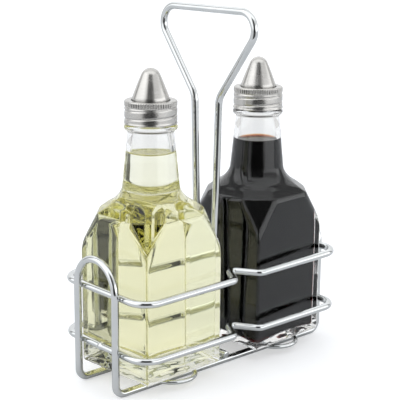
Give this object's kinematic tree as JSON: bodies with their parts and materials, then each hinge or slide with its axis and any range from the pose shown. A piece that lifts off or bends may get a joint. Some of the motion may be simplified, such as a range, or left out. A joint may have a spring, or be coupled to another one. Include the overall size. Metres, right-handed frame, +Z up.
{
  "type": "cruet set",
  "caption": "Two square glass bottles for oil and vinegar, with screw-on conical steel pourers, standing in a chromed wire rack with a tall carrying handle.",
  "frame": {"origin": "on the table, under the centre of the wire rack", "axes": "+X along the rack from the oil bottle to the vinegar bottle, +Y across it to the rear, +Z up"},
  "size_m": [0.1582, 0.076, 0.2],
  "materials": {
    "chromed_wire": "polished",
    "bottle_glass": "clear",
    "steel": "satin",
    "washer_plastic": "matt",
    "oil_liquid": "clear liquid",
    "vinegar_liquid": "dark liquid"
  },
  "bodies": {
    "rack": {"base_frame": "chromed_wire", "lower_rail": "chromed_wire", "upper_rail": "chromed_wire", "handle": "chromed_wire", "oil_support": "chromed_wire", "vinegar_support": "chromed_wire"},
    "oil_bottle": {"oil_bottle": "bottle_glass", "oil": "oil_liquid"},
    "oil_seal": {"oil_washer": "washer_plastic"},
    "oil_pourer": {"oil_pourer": "steel"},
    "oil_collar": {"oil_collar": "steel"},
    "vinegar_bottle": {"vinegar_bottle": "bottle_glass", "vinegar": "vinegar_liquid"},
    "vinegar_seal": {"vinegar_washer": "washer_plastic"},
    "vinegar_pourer": {"vinegar_pourer": "steel"},
    "vinegar_collar": {"vinegar_collar": "steel"}
  },
  "joints": [
    {"name": "oil_bottle_lift", "type": "slide", "parent": "rack", "child": "oil_bottle", "axis": [0, 0, 1], "range_m": [0, 0.07]},
    {"name": "oil_cap_lift_off", "type": "slide", "parent": "oil_bottle", "child": "oil_seal", "axis": [0, 0, 1], "range_m": [0, 0.02]},
    {"name": "oil_thread_lift", "type": "slide", "parent": "oil_seal", "child": "oil_pourer", "axis": [0, 0, 1], "range_m": [0, 0.0063]},
    {"name": "oil_collar_turn", "type": "hinge", "parent": "oil_pourer", "child": "oil_collar", "pos_m": [-0.0396, 0, 0.1469], "axis": [0, 0, 1], "range_deg": [0, 540]},
    {"name": "vinegar_bottle_lift", "type": "slide", "parent": "rack", "child": "vinegar_bottle", "axis": [0, 0, 1], "range_m": [0, 0.07]},
    {"name": "vinegar_cap_lift_off", "type": "slide", "parent": "vinegar_bottle", "child": "vinegar_seal", "axis": [0, 0, 1], "range_m": [0, 0.02]},
    {"name": "vinegar_thread_lift", "type": "slide", "parent": "vinegar_seal", "child": "vinegar_pourer", "axis": [0, 0, 1], "range_m": [0, 0.0063]},
    {"name": "vinegar_collar_turn", "type": "hinge", "parent": "vinegar_pourer", "child": "vinegar_collar", "pos_m": [0.0396, 0, 0.1469], "axis": [0, 0, 1], "range_deg": [0, 540]}
  ],
  "couplings": [
    {"joint": "oil_thread_lift", "follows": "oil_collar_turn", "m_per_rad": 0.000668},
    {"joint": "vinegar_thread_lift", "follows": "vinegar_collar_turn", "m_per_rad": 0.000668}
  ]
}
